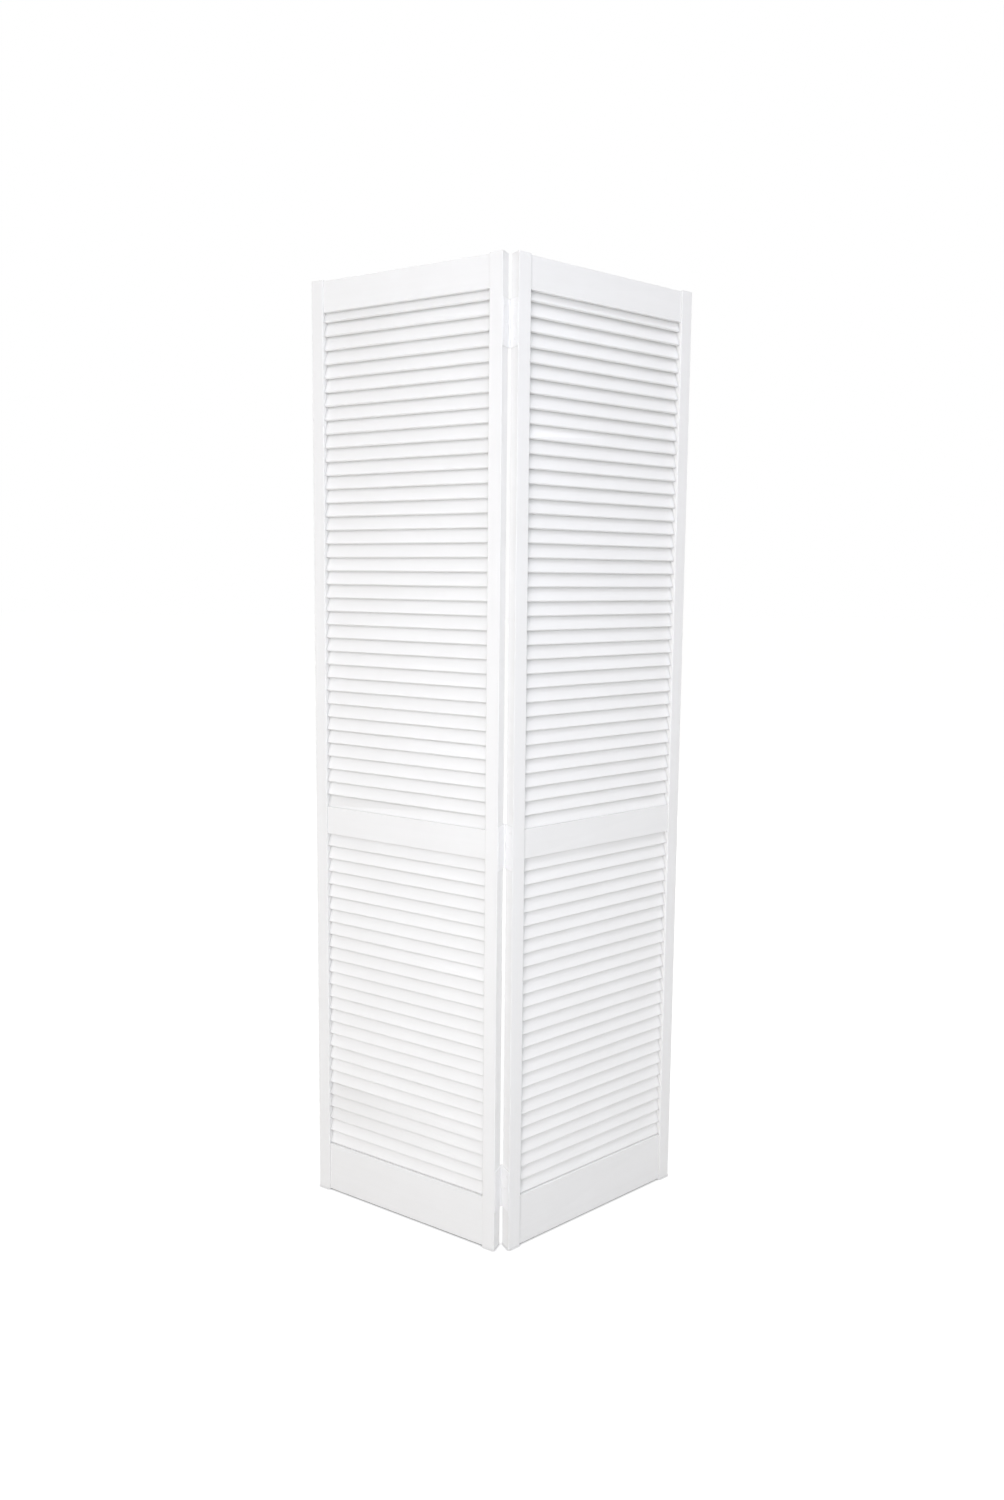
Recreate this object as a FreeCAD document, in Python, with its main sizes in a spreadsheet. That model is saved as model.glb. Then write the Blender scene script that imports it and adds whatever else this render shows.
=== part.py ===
import FreeCAD, Part
import math
import os
import Sketcher

# Two-leaf folding louvred door, standing part folded on the floor.
# Every piece is drawn as in the flat, closed door, with the hinge pins on the vertical
# line x = 0, y = 0, and is then swung about that line with its leaf.

SIZES = [
    # the leaves
    ("leaf_height", 2007),
    ("leaf_width", 449),
    ("leaf_thickness", 25.4),
    ("fold_angle", 120),
    ("meeting_gap", 3),
    ("pin_setback", 2.5),
    # stiles and rails
    ("stile_width", 28.5),
    ("arris_radius", 1.2),
    ("rail_recess", 2.6),
    ("stile_horn", 2),
    ("top_rail_height", 63.5),
    ("mid_rail_height", 59.7),
    ("mid_rail_top", 890.5),
    ("bottom_rail_height", 107.3),
    # slats
    ("slat_width", 34),
    ("slat_thickness", 6),
    ("slat_tilt", 20),
    ("slat_setback", 5.5),
    ("slat_easing", 1.2),
    ("upper_count", 37),
    ("upper_sill_tuck", 3.3),
    ("upper_head_reveal", 20.3),
    ("lower_count", 25),
    ("lower_sill_gap", 0.2),
    ("lower_head_reveal", 30),
    ("housing_depth", 6),
    ("housing_clearance", 0.2),
    # hinges
    ("hinge_height", 90),
    ("hinge_end_distance", 129),
    ("mid_hinge_height", 855),
    ("plate_thickness", 1.2),
    ("plate_margin", 1.5),
    ("knuckle_count", 5),
    ("knuckle_radius", 2.6),
    ("knuckle_clearance", 0.3),
    ("pin_radius", 1.2),
    ("pin_clearance", 0.2),
    ("pin_head_height", 1),
]

DERIVED = [
    ("half_gap", "meeting_gap / 2"),
    ("front_y", "-pin_setback - leaf_thickness"),
    ("swing", "90 - fold_angle / 2"),
    ("pin_line_y", "(cos(swing) * (2 * pin_setback + leaf_thickness)"
                   " - sin(swing) * (meeting_gap + leaf_width)) / 2"),
    ("opening_width", "leaf_width - 2 * stile_width"),
    ("rail_thickness", "leaf_thickness - 2 * rail_recess"),
    ("top_rail_bottom", "leaf_height - stile_horn - top_rail_height"),
    ("mid_rail_bottom", "mid_rail_top - mid_rail_height"),
    ("bottom_rail_top", "stile_horn + bottom_rail_height"),
    ("slat_length", "opening_width + 2 * (housing_depth - housing_clearance)"),
    ("slat_front_y", "front_y + slat_setback"),
    ("slat_drop", "slat_thickness * sin(slat_tilt)"),
    ("upper_start", "mid_rail_top - upper_sill_tuck + slat_drop"),
    ("upper_run", "top_rail_bottom - upper_head_reveal - mid_rail_top + upper_sill_tuck"),
    ("lower_start", "bottom_rail_top + lower_sill_gap + slat_drop"),
    ("lower_run", "mid_rail_bottom - lower_head_reveal - bottom_rail_top - lower_sill_gap"),
    ("segment", "hinge_height / knuckle_count"),
    ("plate_inner", "half_gap - plate_thickness"),
    ("plate_back_y", "-knuckle_radius - 2 * knuckle_clearance"),
    ("plate_depth", "plate_back_y - front_y - plate_margin"),
    ("top_hinge_bottom", "leaf_height - hinge_end_distance - hinge_height / 2"),
    ("mid_hinge_bottom", "mid_hinge_height - hinge_height / 2"),
    ("bottom_hinge_bottom", "hinge_end_distance - hinge_height / 2"),
]

doc = FreeCAD.newDocument("louvred_door")
sheet = doc.addObject("Spreadsheet::Sheet", "sizes")
for row, (alias, number) in enumerate(SIZES, start=1):
    sheet.set(f"A{row}", alias)
    sheet.set(f"B{row}", str(number))
    sheet.setAlias(f"B{row}", alias)
for row, (alias, formula) in enumerate(DERIVED, start=len(SIZES) + 1):
    sheet.set(f"A{row}", alias)
    sheet.set(f"B{row}", "=" + formula)
    sheet.setAlias(f"B{row}", alias)
doc.recompute()

WORDS = [alias for alias, _ in SIZES + DERIVED]
NODES = []

# Rough values that the bound formulas replace
START_ANGLE = 30
START_LENGTH = 10


def bound(formula):
    """Write a formula in sheet words as one that other objects can use."""
    text = ""
    word = ""
    for letter in formula + " ":
        if letter.isalpha() or letter == "_":
            word += letter
            continue
        text += "sizes." + word if word in WORDS else word
        word = ""
        text += letter
    return text.strip()


def plane(body, role):
    """Origin plane or axis of a body."""
    return next(item for item in body.Origin.OriginFeatures if item.Role == role)


def new_body(label, side):
    """Empty body that swings with its leaf: side is 1 for the right leaf and -1 for the left."""
    body = doc.addObject("PartDesign::Body", label)
    body.Label = label
    body.AllowCompound = True
    turn = FreeCAD.Rotation(FreeCAD.Vector(0, 0, side), START_ANGLE)
    body.Placement = FreeCAD.Placement(FreeCAD.Vector(0, 0, 0), turn)
    body.setExpression("Placement.Base.y", bound("pin_line_y"))
    body.setExpression("Placement.Rotation.Angle", bound("swing"))
    NODES.append(body)
    return body


def new_sketch(body, role, offset, tilt=None):
    """Sketch on an origin plane, moved by three formulas and leaned over by a tilt."""
    sketch = body.newObject("Sketcher::SketchObject", body.Name + "_outline")
    sketch.AttachmentSupport = [(plane(body, role), "")]
    sketch.MapMode = "FlatFace"
    if tilt:
        lean = FreeCAD.Rotation(FreeCAD.Vector(0, 0, -1), START_ANGLE)
        sketch.AttachmentOffset = FreeCAD.Placement(FreeCAD.Vector(0, 0, 0), lean)
        sketch.setExpression("AttachmentOffset.Rotation.Angle", bound(tilt))
    for axis, formula in zip("xyz", offset):
        sketch.setExpression("AttachmentOffset.Base." + axis, bound(formula))
    return sketch


def polygon(body, role, points, offset, tilt=None):
    """Closed outline whose corners are pairs of formulas measured from the sketch origin."""
    sketch = new_sketch(body, role, offset, tilt)
    count = len(points)
    rough = []
    for i in range(count):
        turn = 2 * math.pi * i / count
        rough.append(FreeCAD.Vector(START_LENGTH * math.cos(turn), START_LENGTH * math.sin(turn), 0))
    for i in range(count):
        sketch.addGeometry(Part.LineSegment(rough[i], rough[(i + 1) % count]), False)
    for i in range(count):
        sketch.addConstraint(Sketcher.Constraint("Coincident", i, 2, (i + 1) % count, 1))
    for i, corner in enumerate(points):
        for kind, axis_line, formula in zip(("DistanceX", "DistanceY"), (-2, -1), corner):
            if formula == "0":
                sketch.addConstraint(Sketcher.Constraint("PointOnObject", i, 1, axis_line))
            else:
                index = sketch.addConstraint(Sketcher.Constraint(kind, -1, 1, i, 1, START_LENGTH))
                sketch.setExpression(f"Constraints[{index}]", bound(formula))
    return sketch


def rectangle(body, role, width, height, offset, tilt=None):
    """Rectangle from the sketch origin."""
    corners = [("0", "0"), (width, "0"), (width, height), ("0", height)]
    return polygon(body, role, corners, offset, tilt)


def circle(body, radius, offset):
    """Circle on the hinge line."""
    sketch = new_sketch(body, "XY_Plane", offset)
    sketch.addGeometry(Part.Circle(FreeCAD.Vector(0, 0, 0), FreeCAD.Vector(0, 0, 1), START_LENGTH), False)
    sketch.addConstraint(Sketcher.Constraint("Coincident", 0, 3, -1, 1))
    index = sketch.addConstraint(Sketcher.Constraint("Radius", 0, START_LENGTH))
    sketch.setExpression(f"Constraints[{index}]", bound(radius))
    return sketch


def pad(body, sketch, length):
    """Extrude an outline along its normal."""
    feature = body.newObject("PartDesign::Pad", body.Name + "_pad")
    feature.Profile = sketch
    feature.setExpression("Length", bound(length))
    sketch.Visibility = False
    return feature


def pocket(body, sketch, length, along_normal):
    """Cut an outline, either along its normal or against it."""
    feature = body.newObject("PartDesign::Pocket", body.Name + "_pocket")
    feature.Profile = sketch
    feature.Reversed = along_normal
    feature.setExpression("Length", bound(length))
    sketch.Visibility = False
    return feature


def repeat_up(body, features, run, count):
    """Repeat features upwards, evenly over a run."""
    doc.recompute()
    pattern = body.newObject("PartDesign::LinearPattern", body.Name + "_row")
    pattern.Originals = features
    pattern.Direction = (plane(body, "Z_Axis"), [""])
    pattern.setExpression("Length", bound(run))
    pattern.setExpression("Occurrences", bound(count))
    body.Tip = pattern
    doc.recompute()
    return pattern


def slat_place(start_x, start_z, play):
    """Offset of a slat section that is larger all round by some play."""
    forward = f"{play} * (cos(slat_tilt) + sin(slat_tilt))"
    down = f"{play} * (cos(slat_tilt) - sin(slat_tilt))"
    return f"slat_front_y - {forward}", f"{start_z} - {down}", start_x


def slat_section(body, start_x, start_z):
    """Slat section with eased corners, leaning back from its lower front edge."""
    inner_thick = "slat_thickness - slat_easing"
    inner_wide = "slat_width - slat_easing"
    corners = [
        ("slat_easing", "0"), (inner_thick, "0"),
        ("slat_thickness", "slat_easing"), ("slat_thickness", inner_wide),
        (inner_thick, "slat_width"), ("slat_easing", "slat_width"),
        ("0", inner_wide), ("0", "slat_easing"),
    ]
    return polygon(body, "YZ_Plane", corners, slat_place(start_x, start_z, "0"), "slat_tilt")


def housing_section(body, start_x, start_z):
    """Square-cornered housing that takes a slat end with a little play."""
    thick = "slat_thickness + 2 * housing_clearance"
    wide = "slat_width + 2 * housing_clearance"
    place = slat_place(start_x, start_z, "housing_clearance")
    return rectangle(body, "YZ_Plane", thick, wide, place, "slat_tilt")


def stile(label, side, left_x, inner_x, cut_right):
    """Upright with eased arrises and a slanted housing for every slat."""
    body = new_body(label, side)
    outline = rectangle(body, "XY_Plane", "stile_width", "leaf_thickness", (left_x, "front_y", "0"))
    upright = pad(body, outline, "leaf_height")
    doc.recompute()
    height = upright.Shape.BoundBox.ZLength
    long_edges = [f"Edge{i}" for i, edge in enumerate(upright.Shape.Edges, start=1)
                  if abs(edge.Length - height) < 0.01]
    easing = body.newObject("PartDesign::Fillet", label + "_arrises")
    easing.Base = (upright, long_edges)
    easing.setExpression("Radius", bound("arris_radius"))
    for bank in ("upper", "lower"):
        housing = pocket(body, housing_section(body, inner_x, bank + "_start"), "housing_depth", cut_right)
        repeat_up(body, [housing], bank + "_run", bank + "_count")


def rail(label, side, left_x, bottom_z, height):
    """Plain rail between the stiles, set back from both faces."""
    body = new_body(label, side)
    offset = ("front_y + rail_recess", bottom_z, left_x)
    pad(body, rectangle(body, "YZ_Plane", "rail_thickness", height, offset), "opening_width")


def slat_bank(label, side, left_x, bank, head_z, foot_z):
    """Row of fixed slats, the top and bottom ones ripped to fit between the rails."""
    body = new_body(label, side)
    start_x = f"{left_x} - housing_depth + housing_clearance"
    slat = pad(body, slat_section(body, start_x, bank + "_start"), "slat_length")
    repeat_up(body, [slat], bank + "_run", bank + "_count")
    head_cut = f"{head_z} - housing_clearance"
    foot_cut = f"{foot_z} + housing_clearance"
    for cut_z, upwards in ((head_cut, True), (foot_cut, False)):
        place = (f"{left_x} - stile_width", "front_y", cut_z)
        outline = rectangle(body, "XY_Plane", "leaf_width", "leaf_thickness", place)
        pocket(body, outline, "slat_width", upwards)


def hinge_plate(label, side, bottom_z, first_segment, segments):
    """Surface hinge plate on the meeting edge of a leaf, with its share of the knuckles."""
    body = new_body(label, side)
    left_x = "plate_inner" if side > 0 else "-half_gap"
    pad(body, rectangle(body, "XY_Plane", "plate_thickness", "plate_depth",
                        (left_x, "front_y + plate_margin", bottom_z)), "hinge_height")
    lower = f"{bottom_z} + {first_segment} * segment + knuckle_clearance / 2"
    tall = "segment - knuckle_clearance"
    web = pad(body, rectangle(body, "XY_Plane", "plate_thickness", "-plate_back_y",
                              (left_x, "plate_back_y", lower)), tall)
    knuckle = pad(body, circle(body, "knuckle_radius", ("0", "0", lower)), tall)
    repeat_up(body, [web, knuckle], f"{segments - 1} * 2 * segment", str(segments))
    pocket(body, circle(body, "pin_radius + pin_clearance", ("0", "0", bottom_z)), "hinge_height", True)


def hinge_pin(label, bottom_z):
    """Pin through the knuckles, with a low head that rests on the top one."""
    body = new_body(label, -1)
    pad(body, circle(body, "pin_radius", ("0", "0", bottom_z)), "hinge_height")
    head_place = ("0", "0", f"{bottom_z} + hinge_height")
    pad(body, circle(body, "knuckle_radius - pin_clearance", head_place), "pin_head_height")


for leaf, side in (("left", -1), ("right", 1)):
    near_x = "half_gap" if side > 0 else "-half_gap - stile_width"
    far_x = "half_gap + leaf_width - stile_width" if side > 0 else "-half_gap - leaf_width"
    opening_x = "half_gap + stile_width" if side > 0 else "-half_gap - leaf_width + stile_width"
    near_inner_x = f"{near_x} + stile_width" if side > 0 else near_x
    far_inner_x = far_x if side > 0 else f"{far_x} + stile_width"
    stile(leaf + "_hinge_stile", side, near_x, near_inner_x, side < 0)
    stile(leaf + "_outer_stile", side, far_x, far_inner_x, side > 0)
    rail(leaf + "_top_rail", side, opening_x, "top_rail_bottom", "top_rail_height")
    rail(leaf + "_mid_rail", side, opening_x, "mid_rail_bottom", "mid_rail_height")
    rail(leaf + "_bottom_rail", side, opening_x, "stile_horn", "bottom_rail_height")
    slat_bank(leaf + "_upper_slats", side, opening_x, "upper", "top_rail_bottom", "mid_rail_top")
    slat_bank(leaf + "_lower_slats", side, opening_x, "lower", "mid_rail_bottom", "bottom_rail_top")

for level in ("top", "mid", "bottom"):
    hinge_bottom = level + "_hinge_bottom"
    hinge_plate(level + "_hinge_left_plate", -1, hinge_bottom, 0, 3)
    hinge_plate(level + "_hinge_right_plate", 1, hinge_bottom, 1, 2)
    hinge_pin(level + "_hinge_pin", hinge_bottom)

doc.recompute()
for item in doc.Objects:
    if "Invalid" in item.State or "Error" in item.State:
        raise RuntimeError(f"{item.Name} did not build: {item.State}")

os.makedirs("parts", exist_ok=True)
for body in NODES:
    shape = body.Shape
    if shape.isNull() or not shape.isValid() or shape.Volume <= 0:
        raise RuntimeError(f"{body.Label} has no sound shape")
    shape.exportStep(f"parts/{body.Label}.step")
    print(body.Label, len(shape.Solids), "solids", round(shape.Volume / 1000, 1), "cm3")
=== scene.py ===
import math

import bmesh
import bpy
from mathutils import Matrix, Vector


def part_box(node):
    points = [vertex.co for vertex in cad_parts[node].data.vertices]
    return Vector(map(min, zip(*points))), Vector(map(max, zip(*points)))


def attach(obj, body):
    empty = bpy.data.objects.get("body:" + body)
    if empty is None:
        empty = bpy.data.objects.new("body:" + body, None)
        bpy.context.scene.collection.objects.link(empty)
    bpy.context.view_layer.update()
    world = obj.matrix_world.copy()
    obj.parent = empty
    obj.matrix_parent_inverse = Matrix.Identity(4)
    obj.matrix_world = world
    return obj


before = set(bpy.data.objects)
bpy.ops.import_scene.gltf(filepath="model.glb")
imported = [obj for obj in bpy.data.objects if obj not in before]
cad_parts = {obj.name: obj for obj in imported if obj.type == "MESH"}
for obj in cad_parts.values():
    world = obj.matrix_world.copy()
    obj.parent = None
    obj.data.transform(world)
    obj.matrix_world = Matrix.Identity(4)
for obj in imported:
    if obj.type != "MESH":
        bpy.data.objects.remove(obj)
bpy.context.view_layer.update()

# Camera, fitted to the edges of the door in the photograph
IMAGE_WIDTH = 1004
IMAGE_HEIGHT = 1500
FOCAL_PIXELS = 918.8
CENTRE_PIXEL = (503.2, 662.9)
SENSOR = 36.0
CAMERA_FROM_PIN = Vector((-0.1127, -1.8077, 1.3972))
CAMERA_YAW = math.radians(-3.37)
CAMERA_PITCH = math.radians(-5.38)
CAMERA_ROLL = math.radians(-0.55)

# Hinge screws, in metres from the pin line and the foot of the plate
PLATE_FACE = 0.0003
SCREW_RADIUS = 0.0030
SCREW_RISE = 0.0006
SCREW_SLOT = 0.0007
SCREW_HEIGHTS = (0.014, 0.045, 0.076)
SCREW_DEPTHS = (-0.0185, -0.0115, -0.0185)

# Form of a screw head, in shares of its radius and its rise, and how the heads are turned
SCREW_PROFILE = ((1.0, 0.0), (0.96, 0.6), (0.8, 1.0))
SCREW_SIDES = 24
SLOT_REACH = 0.6
SLOT_FLOOR = 0.15
FIRST_TURN = 0.3
NEXT_TURN = 0.6

# Paint: linear colours and gloss
PAINT_WHITE = (0.905, 0.905, 0.900, 1.0)
PAINT_SHADE = (0.875, 0.873, 0.865, 1.0)
PAINT_ENDS = (0.30, 0.70)
PAINT_ROUGHNESS = (0.40, 0.58)
PAINT_RELIEF = 0.3
PAINT_DEPTH = 0.0004
PIECE_LEVEL = (0.985, 1.0)

# Marks in the paint: how often they repeat in a metre, and their share in tone, gloss and relief
GRAIN_LENGTH = 2.5
GRAIN_WIDTH = 90.0
GRAIN_DETAIL = 6.0
BRUSH_LENGTH = 9.0
BRUSH_WIDTH = 420.0
BRUSH_DETAIL = 3.0
CLOUD_SIZE = 9.0
CLOUD_DETAIL = 3.0
MARK_ROUGHNESS = 0.6
GRAIN_IN_TONE = 0.45
BRUSH_IN_GLOSS = 0.5
BRUSH_IN_RELIEF = 0.6

# Painted shade in corners and creases, from ambient occlusion: how far it reaches, and the tone it
# leaves
CORNER_SHADE_REACH = 0.006
CORNER_SHADE_LEVEL = 0.72

# Hinge enamel
ENAMEL_WHITE = (0.93, 0.93, 0.93, 1.0)
ENAMEL_SHADE = (0.885, 0.885, 0.885, 1.0)
ENAMEL_ENDS = (0.0, 1.0)
ENAMEL_ROUGHNESS = (0.42, 0.55)
ENAMEL_RELIEF = 0.15
ENAMEL_DEPTH = 0.0002
PEEL_SIZE = 420.0
PEEL_DETAIL = 2.0

# Eased edges of rails and slats
JOIN_REACH = 0.00001
EASED_ANGLE = math.radians(25)
EASING_STEPS = 2
RAIL_EASING = 0.0008
SLAT_EASING = 0.0005

# Ways of the wood: upright in the stiles, along the leaf in rails and slats
ALONG_STILE = Vector((0.0, 0.0, 1.0))
ACROSS_STILE = Vector((1.0, 1.0, 0.0))
ALONG_RAIL = Vector((1.0, 0.0, 0.0))
ACROSS_RAIL = Vector((0.0, 1.0, 1.0))

# Studio
FLOOR_SIZE = 60.0
FLOOR_COLOUR = (0.55, 0.55, 0.55, 1.0)
FLOOR_VEIL = (0.22, 0.22, 0.22, 1.0)
FLOOR_WHITE = 0.86
CONTACT_SHADOW_REACH = 0.006
SKY_LOW = 0.11
SKY_HIGH = 0.94
SKY_COLOUR = (1.0, 0.99, 0.95, 1.0)
SHOWN_LEVEL = 1.0
SHOWN_COLOUR = (1.0, 1.0, 1.0, 1.0)

# Lamps: place, power and colour
LAMP_SIZE = 1.8
LAMP_TARGET = Vector((0.0, 0.0, 1.0))
LAMPS = {
    "key_light": ((-1.6, -2.9, 3.8), 20.0, (0.93, 0.93, 1.0)),
    "top_light": ((1.1, -1.4, 5.0), 32.5, (0.84, 0.86, 1.0)),
    "low_light": ((-1.9, -4.0, 1.0), 48.0, (1.0, 0.92, 0.86)),
    "right_light": ((3.0, -3.0, 2.1), 14.0, (0.98, 0.95, 1.0)),
    "front_light": ((-0.2, -2.3, 1.6), 17.8, (0.79, 0.87, 1.0)),
    "left_back_light": ((-1.8, 3.6, 1.6), 30.0, (1.0, 1.0, 1.0)),
    "right_back_light": ((1.8, 3.6, 1.6), 30.0, (1.0, 1.0, 1.0)),
}

LEAVES = {"left": -1, "right": 1}
HINGES = ("top", "mid", "bottom")


def middle(node):
    """Centre of a node's box."""
    low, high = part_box(node)
    return (Vector(low) + Vector(high)) / 2


def pin_line():
    """Foot of the vertical line on which the hinge pins stand."""
    centre = middle("mid_hinge_pin")
    return Vector((centre.x, centre.y, 0.0))


def leaf_turn(leaf):
    """Angle from the X axis to a leaf, measured from its hinge stile to its outer stile."""
    along = middle(leaf + "_outer_stile") - middle(leaf + "_hinge_stile")
    along *= LEAVES[leaf]
    return math.atan2(along.y, along.x)


def leaf_frame(leaf):
    """Frame of a leaf on the pin line: X along the leaf, Y to its back, Z up."""
    return Matrix.Translation(pin_line()) @ Matrix.Rotation(leaf_turn(leaf), 4, "Z")


def new_material(name):
    """New material, with its nodes and links."""
    material = bpy.data.materials.new(name)
    material.use_nodes = True
    return material, material.node_tree.nodes, material.node_tree.links


def streaks(nodes, links, vector, stretch, detail):
    """Noise drawn out along one direction of a vector."""
    drawn = nodes.new("ShaderNodeVectorMath")
    drawn.operation = "MULTIPLY"
    drawn.inputs[1].default_value = stretch
    links.new(vector, drawn.inputs[0])
    noise = nodes.new("ShaderNodeTexNoise")
    noise.inputs["Scale"].default_value = 1.0
    noise.inputs["Detail"].default_value = detail
    noise.inputs["Roughness"].default_value = MARK_ROUGHNESS
    links.new(drawn.outputs["Vector"], noise.inputs["Vector"])
    return noise.outputs["Fac"]


def mixed(nodes, links, first, second, share):
    """Blend of two values, with a share of the second."""
    blend = nodes.new("ShaderNodeMix")
    blend.data_type = "FLOAT"
    blend.inputs["Factor"].default_value = share
    links.new(first, blend.inputs["A"])
    links.new(second, blend.inputs["B"])
    return blend.outputs["Result"]


def spread(nodes, links, value, low, high):
    """Bring a value between 0 and 1 to a range."""
    span = nodes.new("ShaderNodeMapRange")
    span.inputs["To Min"].default_value = low
    span.inputs["To Max"].default_value = high
    links.new(value, span.inputs["Value"])
    return span.outputs["Result"]


def toned(nodes, links, value, shade, white, ends):
    """Colour that goes from a shade to a white between two ends of a value."""
    ramp = nodes.new("ShaderNodeValToRGB")
    for element, position, colour in zip(ramp.color_ramp.elements, ends, (shade, white)):
        element.position = position
        element.color = colour
    links.new(value, ramp.inputs["Fac"])
    return ramp.outputs["Color"]


def emboss(nodes, links, shader, height, relief, depth):
    """Press a height into the surface of a shader."""
    bump = nodes.new("ShaderNodeBump")
    bump.inputs["Strength"].default_value = relief
    bump.inputs["Distance"].default_value = depth
    links.new(height, bump.inputs["Height"])
    links.new(bump.outputs["Normal"], shader.inputs["Normal"])


def corner_shaded(nodes, links, value):
    """Darken a value in corners and creases by ambient occlusion: painted shade."""
    corner = nodes.new("ShaderNodeAmbientOcclusion")
    corner.inputs["Distance"].default_value = CORNER_SHADE_REACH
    dull = nodes.new("ShaderNodeMath")
    dull.operation = "MULTIPLY"
    links.new(value, dull.inputs[0])
    links.new(spread(nodes, links, corner.outputs["AO"], CORNER_SHADE_LEVEL, 1.0), dull.inputs[1])
    return dull.outputs["Value"]


def painted_wood(name, turn, along, across, shade_corners):
    """Satin white paint with brush marks and faint grain along the piece, a tone for each piece, and,
    if asked, painted shade in its corners.
    """
    material, nodes, links = new_material(name)
    shader = nodes["Principled BSDF"]
    place = nodes.new("ShaderNodeTexCoord")
    mapping = nodes.new("ShaderNodeMapping")
    mapping.inputs["Rotation"].default_value = (0.0, 0.0, -turn)
    links.new(place.outputs["Object"], mapping.inputs["Vector"])
    vector = mapping.outputs["Vector"]
    grain = streaks(nodes, links, vector, along * GRAIN_LENGTH + across * GRAIN_WIDTH, GRAIN_DETAIL)
    brush = streaks(nodes, links, vector, along * BRUSH_LENGTH + across * BRUSH_WIDTH, BRUSH_DETAIL)
    cloud = streaks(nodes, links, vector, (along + across) * CLOUD_SIZE, CLOUD_DETAIL)

    marks = mixed(nodes, links, cloud, grain, GRAIN_IN_TONE)
    tone = toned(nodes, links, marks, PAINT_SHADE, PAINT_WHITE, PAINT_ENDS)
    piece = nodes.new("ShaderNodeNewGeometry")
    tint = spread(nodes, links, piece.outputs["Random Per Island"], *PIECE_LEVEL)
    # Painted shade: ambient occlusion darkens the paint in corners, in creases and under the slat edges
    if shade_corners:
        tint = corner_shaded(nodes, links, tint)
    level = nodes.new("ShaderNodeHueSaturation")
    links.new(tone, level.inputs["Color"])
    links.new(tint, level.inputs["Value"])
    links.new(level.outputs["Color"], shader.inputs["Base Color"])

    sheen = mixed(nodes, links, cloud, brush, BRUSH_IN_GLOSS)
    links.new(spread(nodes, links, sheen, *PAINT_ROUGHNESS), shader.inputs["Roughness"])
    relief = mixed(nodes, links, grain, brush, BRUSH_IN_RELIEF)
    emboss(nodes, links, shader, relief, PAINT_RELIEF, PAINT_DEPTH)
    return material


def enamel(name):
    """Smooth white enamel on sheet steel, with a faint orange-peel."""
    material, nodes, links = new_material(name)
    shader = nodes["Principled BSDF"]
    place = nodes.new("ShaderNodeTexCoord")
    peel = nodes.new("ShaderNodeTexNoise")
    peel.inputs["Scale"].default_value = PEEL_SIZE
    peel.inputs["Detail"].default_value = PEEL_DETAIL
    links.new(place.outputs["Object"], peel.inputs["Vector"])
    height = peel.outputs["Fac"]
    tone = toned(nodes, links, height, ENAMEL_SHADE, ENAMEL_WHITE, ENAMEL_ENDS)
    links.new(tone, shader.inputs["Base Color"])
    links.new(spread(nodes, links, height, *ENAMEL_ROUGHNESS), shader.inputs["Roughness"])
    emboss(nodes, links, shader, height, ENAMEL_RELIEF, ENAMEL_DEPTH)
    return material


def ease_edges(piece, easing):
    """Join the faces of a piece along their edges, and round its sharp edges a little."""
    joined = piece.modifiers.new("joined_faces", "WELD")
    joined.merge_threshold = JOIN_REACH
    bevel = piece.modifiers.new("eased_edges", "BEVEL")
    bevel.width = easing
    bevel.segments = EASING_STEPS
    bevel.limit_method = "ANGLE"
    bevel.angle_limit = EASED_ANGLE


def dress(node, material, easing=0.0):
    """Give a CAD node its paint, and ease its sharp edges."""
    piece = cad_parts[node]
    piece.data.materials.clear()
    piece.data.materials.append(material)
    if easing:
        ease_edges(piece, easing)


def screw_head(name, material):
    """Low round screw head with a cross recess, its seat on Z = 0."""
    mesh = bpy.data.meshes.new(name)
    shape = bmesh.new()
    rings = []
    for width_share, rise_share in SCREW_PROFILE:
        radius = SCREW_RADIUS * width_share
        height = SCREW_RISE * rise_share
        ring = []
        for step in range(SCREW_SIDES):
            turn = 2 * math.pi * step / SCREW_SIDES
            ring.append(shape.verts.new((radius * math.cos(turn), radius * math.sin(turn), height)))
        rings.append(ring)
    for lower, upper in zip(rings, rings[1:]):
        for step in range(SCREW_SIDES):
            after = (step + 1) % SCREW_SIDES
            shape.faces.new((lower[step], lower[after], upper[after], upper[step]))
    half = SCREW_SLOT / 2
    reach = SCREW_RADIUS * SLOT_REACH
    quarter = [Vector((half, half)), Vector((half, reach)), Vector((-half, reach))]
    cross = []
    for turn in range(4):
        spin = Matrix.Rotation(turn * math.pi / 2, 2)
        cross += [spin @ corner for corner in quarter]
    top = [shape.verts.new((corner.x, corner.y, SCREW_RISE)) for corner in cross]
    floor = [shape.verts.new((corner.x, corner.y, SCREW_RISE * SLOT_FLOOR)) for corner in cross]
    for index in range(len(cross)):
        after = (index + 1) % len(cross)
        shape.faces.new((top[after], top[index], floor[index], floor[after]))
    shape.faces.new(floor)
    rim = [shape.edges.get(ends) for ends in zip(rings[-1], rings[-1][1:] + rings[-1][:1])]
    lip = [shape.edges.get(ends) for ends in zip(top, top[1:] + top[:1])]
    bmesh.ops.triangle_fill(shape, edges=rim + lip, use_beauty=True)
    bmesh.ops.recalc_face_normals(shape, faces=shape.faces)
    shape.to_mesh(mesh)
    shape.free()
    mesh.materials.append(material)
    return mesh


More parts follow.
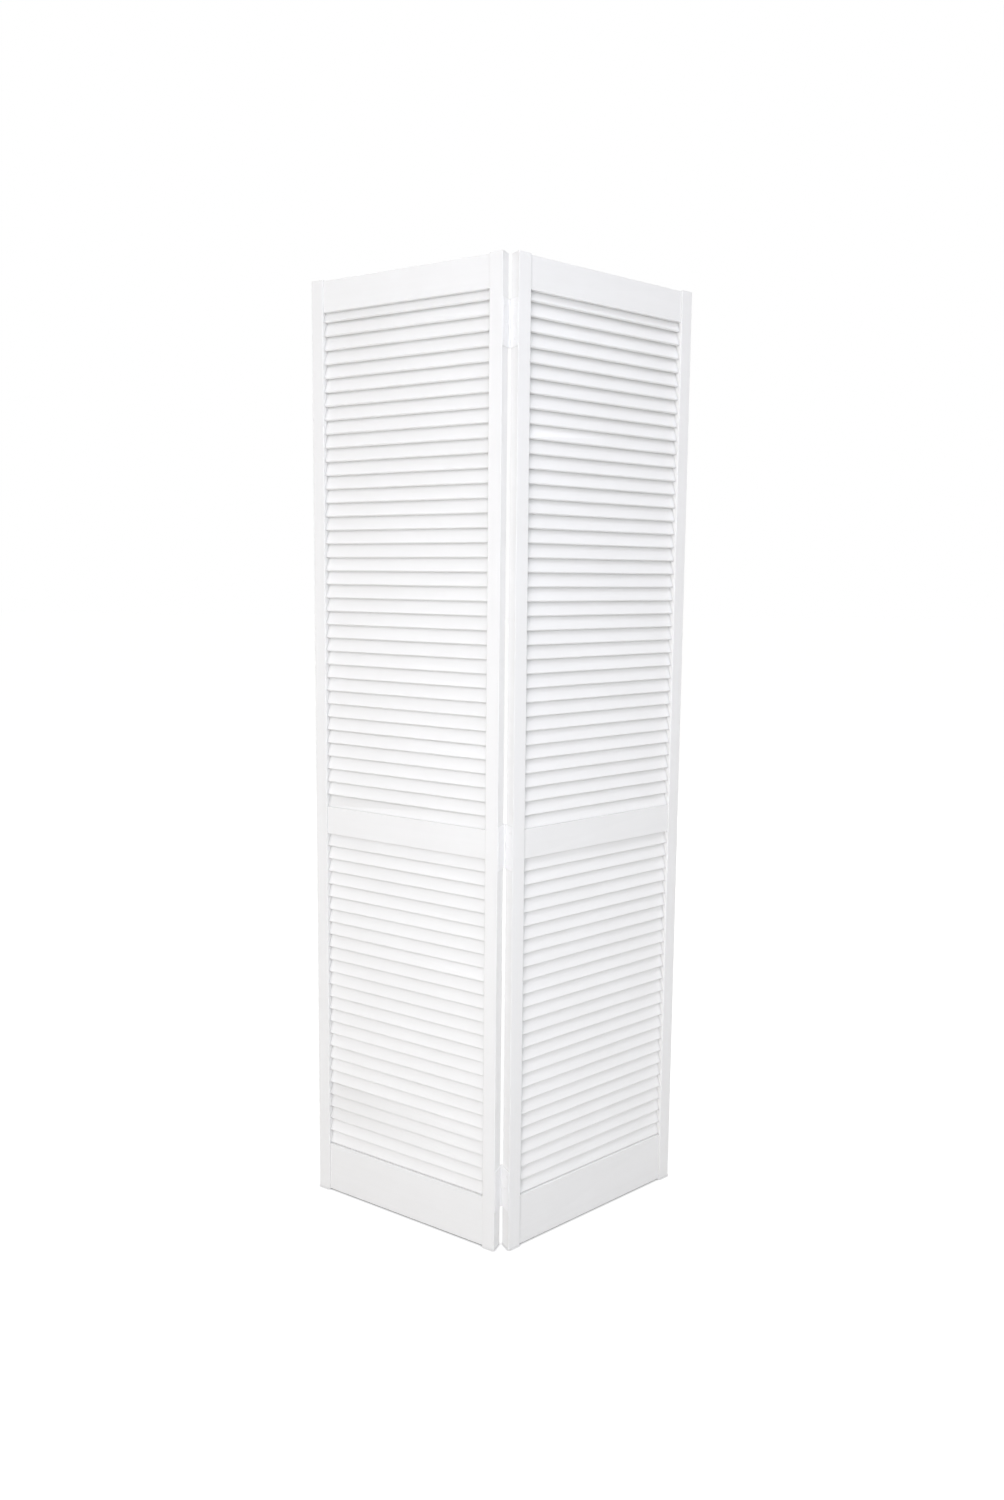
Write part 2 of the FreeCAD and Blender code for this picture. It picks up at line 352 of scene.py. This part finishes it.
def hinge_screws(material):
    """Screw heads on both plates of every hinge."""
    head = screw_head("screw_head", material)
    for leaf, side in LEAVES.items():
        for hinge in HINGES:
            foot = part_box(f"{hinge}_hinge_{leaf}_plate")[0][2]
            for index, (height, depth) in enumerate(zip(SCREW_HEIGHTS, SCREW_DEPTHS)):
                screw = bpy.data.objects.new(f"{hinge}_hinge_{leaf}_screw_{index + 1}", head)
                bpy.context.scene.collection.objects.link(screw)
                seat = Matrix.Translation((side * PLATE_FACE, depth, foot + height))
                turned = Matrix.Rotation(NEXT_TURN * index + FIRST_TURN, 4, "Z")
                face = Matrix.Rotation(-side * math.pi / 2, 4, "Y") @ turned
                screw.matrix_world = leaf_frame(leaf) @ seat @ face
                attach(screw, "root")


def shown_rays(nodes, links):
    """1 for the rays that bring a surface to the eye: straight, mirrored or through glass."""
    path = nodes.new("ShaderNodeLightPath")
    shown = path.outputs["Is Camera Ray"]
    for way in ("Is Glossy Ray", "Is Transmission Ray"):
        either = nodes.new("ShaderNodeMath")
        either.operation = "MAXIMUM"
        links.new(shown, either.inputs[0])
        links.new(path.outputs[way], either.inputs[1])
        shown = either.outputs["Value"]
    return shown


def studio_floor():
    """Pale floor that shows white to the camera and keeps a soft shadow, with a painted contact shadow
    where the door stands on it.
    """
    bpy.ops.mesh.primitive_plane_add(size=FLOOR_SIZE, location=(0.0, 0.0, 0.0))
    floor = bpy.context.object
    floor.name = "studio_floor"
    material, nodes, links = new_material("studio_floor")
    nodes.remove(nodes["Principled BSDF"])
    matt = nodes.new("ShaderNodeBsdfDiffuse")
    matt.inputs["Color"].default_value = FLOOR_COLOUR
    veil = nodes.new("ShaderNodeBsdfDiffuse")
    veil.inputs["Color"].default_value = FLOOR_VEIL
    white = nodes.new("ShaderNodeEmission")
    # Painted contact shadow: ambient occlusion dims the white the camera sees near the foot of the door
    contact_shadow = nodes.new("ShaderNodeAmbientOcclusion")
    contact_shadow.inputs["Distance"].default_value = CONTACT_SHADOW_REACH
    links.new(spread(nodes, links, contact_shadow.outputs["AO"], 0.0, FLOOR_WHITE), white.inputs["Strength"])
    shown = nodes.new("ShaderNodeAddShader")
    links.new(veil.outputs["BSDF"], shown.inputs[0])
    links.new(white.outputs["Emission"], shown.inputs[1])
    mix = nodes.new("ShaderNodeMixShader")
    links.new(shown_rays(nodes, links), mix.inputs["Fac"])
    links.new(matt.outputs["BSDF"], mix.inputs[1])
    links.new(shown.outputs["Shader"], mix.inputs[2])
    links.new(mix.outputs["Shader"], nodes["Material Output"].inputs["Surface"])
    floor.data.materials.append(material)


def studio_world():
    """Sky light that grows from the horizon to overhead, seen as plain white."""
    world = bpy.data.worlds.new("studio")
    bpy.context.scene.world = world
    world.use_nodes = True
    nodes = world.node_tree.nodes
    links = world.node_tree.links
    sky = nodes["Background"]
    place = nodes.new("ShaderNodeTexCoord")
    parts = nodes.new("ShaderNodeSeparateXYZ")
    links.new(place.outputs["Generated"], parts.inputs["Vector"])
    rise = spread(nodes, links, parts.outputs["Z"], SKY_LOW, SKY_HIGH)
    shown = shown_rays(nodes, links)
    level = nodes.new("ShaderNodeMix")
    level.data_type = "FLOAT"
    links.new(shown, level.inputs["Factor"])
    links.new(rise, level.inputs["A"])
    level.inputs["B"].default_value = SHOWN_LEVEL
    links.new(level.outputs["Result"], sky.inputs["Strength"])
    tint = nodes.new("ShaderNodeMix")
    tint.data_type = "RGBA"
    links.new(shown, tint.inputs["Factor"])
    tint.inputs["A"].default_value = SKY_COLOUR
    tint.inputs["B"].default_value = SHOWN_COLOUR
    links.new(tint.outputs["Result"], sky.inputs["Color"])


def soft_light(name, place, power, colour):
    """Square soft box that points at the middle of the door."""
    lamp = bpy.data.lights.new(name, "AREA")
    lamp.shape = "SQUARE"
    lamp.size = LAMP_SIZE
    lamp.energy = power
    lamp.color = colour
    holder = bpy.data.objects.new(name, lamp)
    holder.location = place
    aim = LAMP_TARGET - Vector(place)
    holder.rotation_euler = aim.to_track_quat("-Z", "Y").to_euler()
    bpy.context.scene.collection.objects.link(holder)


def photo_camera():
    """Camera that stands where the photograph was taken from."""
    data = bpy.data.cameras.new("photo_camera")
    data.sensor_fit = "AUTO"
    data.sensor_width = SENSOR
    data.lens = SENSOR * FOCAL_PIXELS / IMAGE_HEIGHT
    data.shift_x = (IMAGE_WIDTH / 2 - CENTRE_PIXEL[0]) / IMAGE_HEIGHT
    data.shift_y = (CENTRE_PIXEL[1] - IMAGE_HEIGHT / 2) / IMAGE_HEIGHT
    camera = bpy.data.objects.new("photo_camera", data)
    level = Matrix.Rotation(math.pi / 2, 4, "X")
    turn = Matrix.Rotation(CAMERA_YAW, 4, "Z") @ Matrix.Rotation(CAMERA_PITCH, 4, "X")
    turn = turn @ Matrix.Rotation(CAMERA_ROLL, 4, "Y") @ level
    camera.matrix_world = Matrix.Translation(pin_line() + CAMERA_FROM_PIN) @ turn
    bpy.context.scene.collection.objects.link(camera)
    bpy.context.scene.camera = camera


# Stiles and slats carry painted shade in their corners and creases; rails do not
stile_paint = painted_wood("stile_paint", 0.0, ALONG_STILE, ACROSS_STILE, True)
for leaf in LEAVES:
    rail_paint = painted_wood(f"{leaf}_rail_paint", leaf_turn(leaf), ALONG_RAIL, ACROSS_RAIL, False)
    slat_paint = painted_wood(f"{leaf}_slat_paint", leaf_turn(leaf), ALONG_RAIL, ACROSS_RAIL, True)
    for stile in ("hinge_stile", "outer_stile"):
        dress(f"{leaf}_{stile}", stile_paint)
    for rail in ("top_rail", "mid_rail", "bottom_rail"):
        dress(f"{leaf}_{rail}", rail_paint, RAIL_EASING)
    for bank in ("upper_slats", "lower_slats"):
        dress(f"{leaf}_{bank}", slat_paint, SLAT_EASING)

hinge_white = enamel("hinge_enamel")
for hinge in HINGES:
    for piece in ("left_plate", "right_plate", "pin"):
        dress(f"{hinge}_hinge_{piece}", hinge_white)
hinge_screws(hinge_white)

studio_floor()
studio_world()
for name, lamp in LAMPS.items():
    soft_light(name, *lamp)
photo_camera()
bpy.context.scene.view_settings.view_transform = "Standard"
